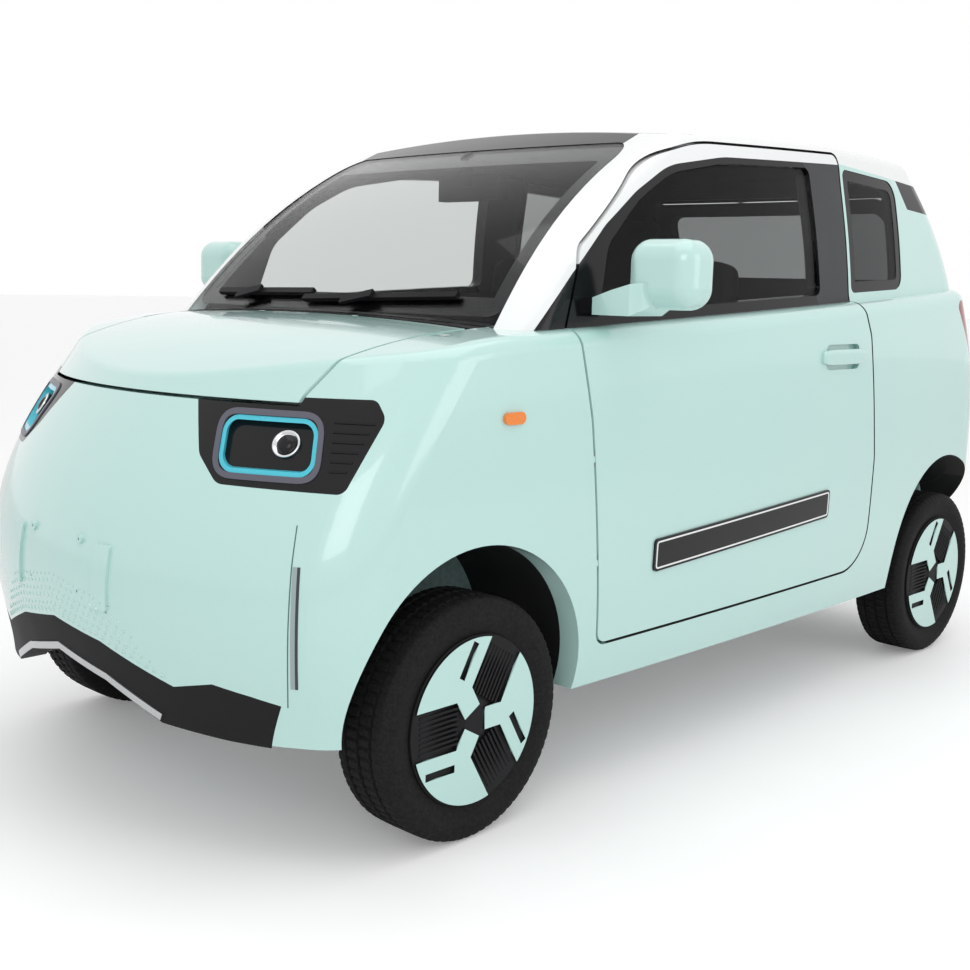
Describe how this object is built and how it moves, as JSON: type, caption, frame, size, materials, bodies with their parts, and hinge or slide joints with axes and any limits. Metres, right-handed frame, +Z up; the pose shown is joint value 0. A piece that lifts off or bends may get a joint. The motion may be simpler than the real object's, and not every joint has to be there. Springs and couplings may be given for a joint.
{
  "type": "electric city car",
  "caption": "Small two-door electric city car with opening doors, hood and tailgate, steered front wheels and a hollow cabin with seats.",
  "frame": {"origin": "on the ground below the middle of the car", "axes": "+X forward, +Y to the car's left, +Z up"},
  "size_m": [3.1361, 1.832, 1.6218],
  "materials": {
    "mint_paint": "gloss",
    "white_paint": "gloss",
    "black_gloss": "gloss",
    "black_plastic": "matte",
    "glass": "clear",
    "tyre": "matte",
    "wheel_cover": "satin",
    "seat_cloth": "woven",
    "lamp_red": "gloss",
    "lamp_ring": "gloss",
    "lamp_amber": "gloss",
    "floor_paint": "satin",
    "cast_case": "cast",
    "steel": "satin"
  },
  "bodies": {
    "body": {"arch_liners": "black_plastic", "battery_pack": "cast_case", "body_sides": "mint_paint", "cowl_panel": "black_plastic", "dashboard": "black_plastic", "drive_unit": "cast_case", "fenders": "mint_paint", "floor_pan": "floor_paint", "front_bumper": "mint_paint", "front_lip": "black_plastic", "front_seats": "seat_cloth", "front_suspension": "steel", "headlamp_rings": "lamp_ring", "headlamps": "black_gloss", "hinge_pins": "steel", "interior_mirror": "black_plastic", "pillar_trims": "black_gloss", "quarter_glass": "glass", "rear_axle": "steel", "rear_bench": "seat_cloth", "rear_bumper": "mint_paint", "roof_frame": "white_paint", "roof_panel": "black_gloss", "side_repeaters": "lamp_amber", "tail_lamps": "lamp_red", "windshield": "glass"},
    "hood": {"hood": "mint_paint"},
    "tailgate": {"tailgate": "mint_paint", "tailgate_glass": "glass"},
    "knuckle_left": {"knuckle_left": "steel"},
    "knuckle_right": {"knuckle_right": "steel"},
    "steering_wheel": {"steering_wheel": "black_plastic"},
    "door_left": {"door_left": "mint_paint", "door_frame_left": "white_paint", "door_trim_left": "black_gloss", "door_glass_left": "glass", "mirror_left": "mint_paint"},
    "door_right": {"door_right": "mint_paint", "door_frame_right": "white_paint", "door_trim_right": "black_gloss", "door_glass_right": "glass", "mirror_right": "mint_paint"},
    "wheel_fl": {"wheel_fl": "wheel_cover", "tyre_fl": "tyre"},
    "wheel_fr": {"wheel_fr": "wheel_cover", "tyre_fr": "tyre"},
    "wheel_rl": {"wheel_rl": "wheel_cover", "tyre_rl": "tyre"},
    "wheel_rr": {"wheel_rr": "wheel_cover", "tyre_rr": "tyre"}
  },
  "joints": [
    {"name": "door_left_hinge", "type": "hinge", "parent": "body", "child": "door_left", "pos_m": [0.62232, 0.72331, 0.56], "axis": [-0.1061, -0.0014, -0.9944], "range_deg": [0, 65]},
    {"name": "door_right_hinge", "type": "hinge", "parent": "body", "child": "door_right", "pos_m": [0.62232, -0.72331, 0.56], "axis": [0.1061, -0.0014, 0.9944], "range_deg": [0, 65]},
    {"name": "hood_hinge", "type": "hinge", "parent": "body", "child": "hood", "pos_m": [0.884, 0, 1.0939], "axis": [0, -1, 0], "range_deg": [0, 50]},
    {"name": "tailgate_hinge", "type": "hinge", "parent": "body", "child": "tailgate", "pos_m": [-1.19461, 0, 1.495], "axis": [0, 1, 0], "range_deg": [0, 75]},
    {"name": "steer_left", "type": "hinge", "parent": "body", "child": "knuckle_left", "pos_m": [0.985, 0.6, 0.266], "axis": [0, 0, 1], "range_deg": [-30, 30]},
    {"name": "steer_right", "type": "hinge", "parent": "body", "child": "knuckle_right", "pos_m": [0.985, -0.6, 0.266], "axis": [0, 0, 1], "range_deg": [-30, 30]},
    {"name": "steering_wheel_turn", "type": "hinge", "parent": "body", "child": "steering_wheel", "pos_m": [0.4, 0.33, 0.975], "axis": [-0.8829, 0, 0.4695], "range_deg": [-450, 450]},
    {"name": "spin_fl", "type": "hinge", "parent": "knuckle_left", "child": "wheel_fl", "pos_m": [0.985, 0.627, 0.266], "axis": [0, 1, 0], "continuous": true},
    {"name": "spin_fr", "type": "hinge", "parent": "knuckle_right", "child": "wheel_fr", "pos_m": [0.985, -0.627, 0.266], "axis": [0, 1, 0], "continuous": true},
    {"name": "spin_rl", "type": "hinge", "parent": "body", "child": "wheel_rl", "pos_m": [-1.205, 0.627, 0.266], "axis": [0, 1, 0], "continuous": true},
    {"name": "spin_rr", "type": "hinge", "parent": "body", "child": "wheel_rr", "pos_m": [-1.205, -0.627, 0.266], "axis": [0, 1, 0], "continuous": true}
  ],
  "couplings": [
    {"joint": "steer_right", "follows": "steer_left", "ratio": 1},
    {"joint": "steering_wheel_turn", "follows": "steer_left", "ratio": 15}
  ]
}
